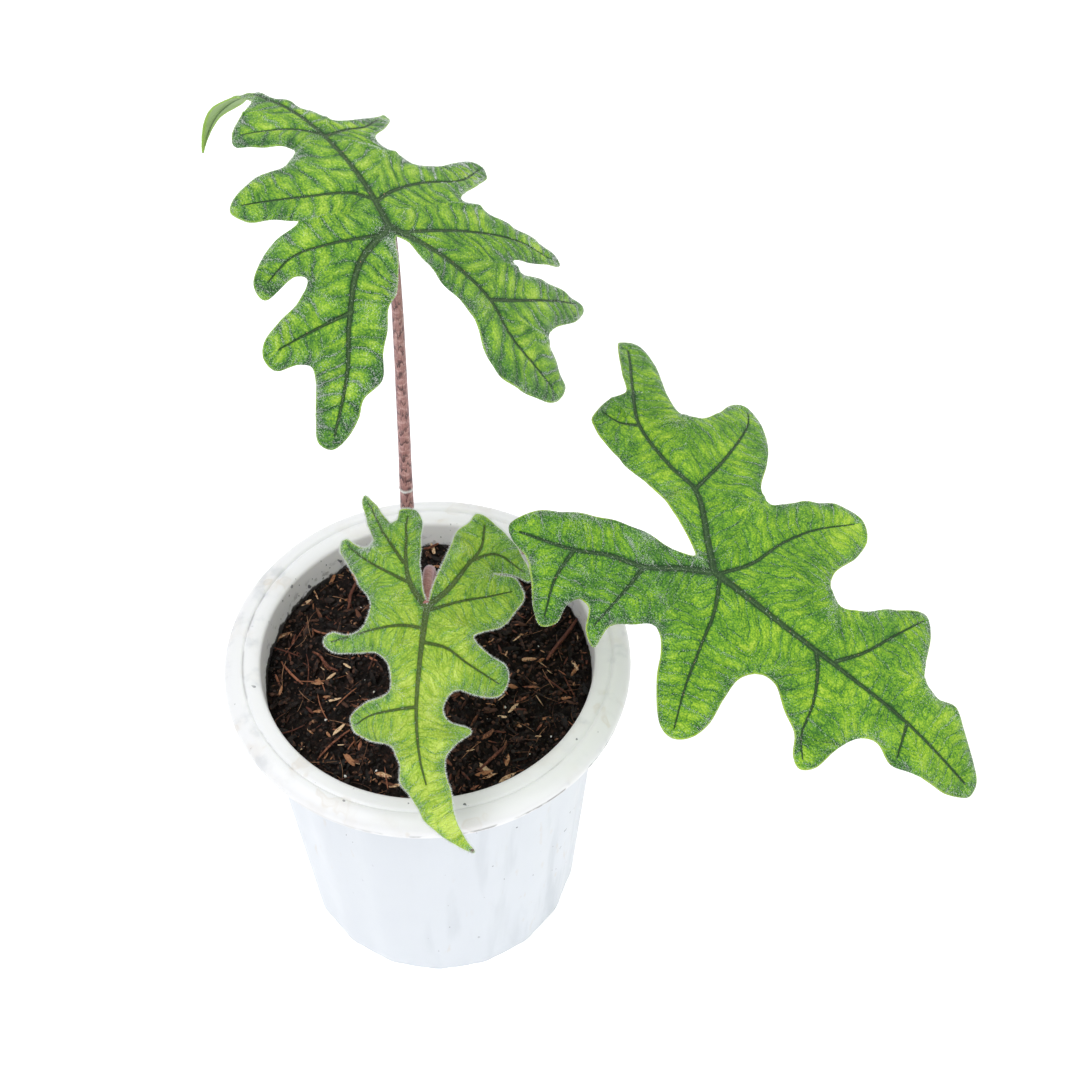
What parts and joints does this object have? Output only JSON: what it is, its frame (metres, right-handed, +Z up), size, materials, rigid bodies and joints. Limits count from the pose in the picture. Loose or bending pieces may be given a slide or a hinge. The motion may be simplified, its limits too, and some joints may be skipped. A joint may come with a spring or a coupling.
{
  "type": "potted jacklyn alocasia",
  "caption": "Small potted jewel alocasia: antler-shaped, deeply lobed quilted green leaves on slim mottled stalks, growing from dark bark mix in a white plastic nursery pot.",
  "frame": {"origin": "centre of the pot's underside, on the surface it stands on", "axes": "+Z up; -Y towards the side of the pot over which the small front leaf hangs; +X towards the large low leaf"},
  "size_m": [0.26, 0.1816, 0.3446],
  "materials": {
    "pot": "satin white moulded plastic, soil-stained at the rim",
    "soil": "matte dark bark and fibre mix",
    "stem_base": "matte fibrous brown corm",
    "stalk": "satin, pink-brown with dark maroon mottling",
    "leaf": "satin, quilted, dark-veined and finely hairy",
    "young_leaf": "satin, lime green, finely wrinkled and hairy"
  },
  "bodies": {
    "root": {"pot": "pot", "soil": "soil", "stem_base": "stem_base", "petiole_tall": "stalk", "petiole_right": "stalk", "petiole_front": "stalk", "leaf_tall": "leaf", "leaf_right": "leaf", "leaf_front": "young_leaf"}
  },
  "joints": []
}
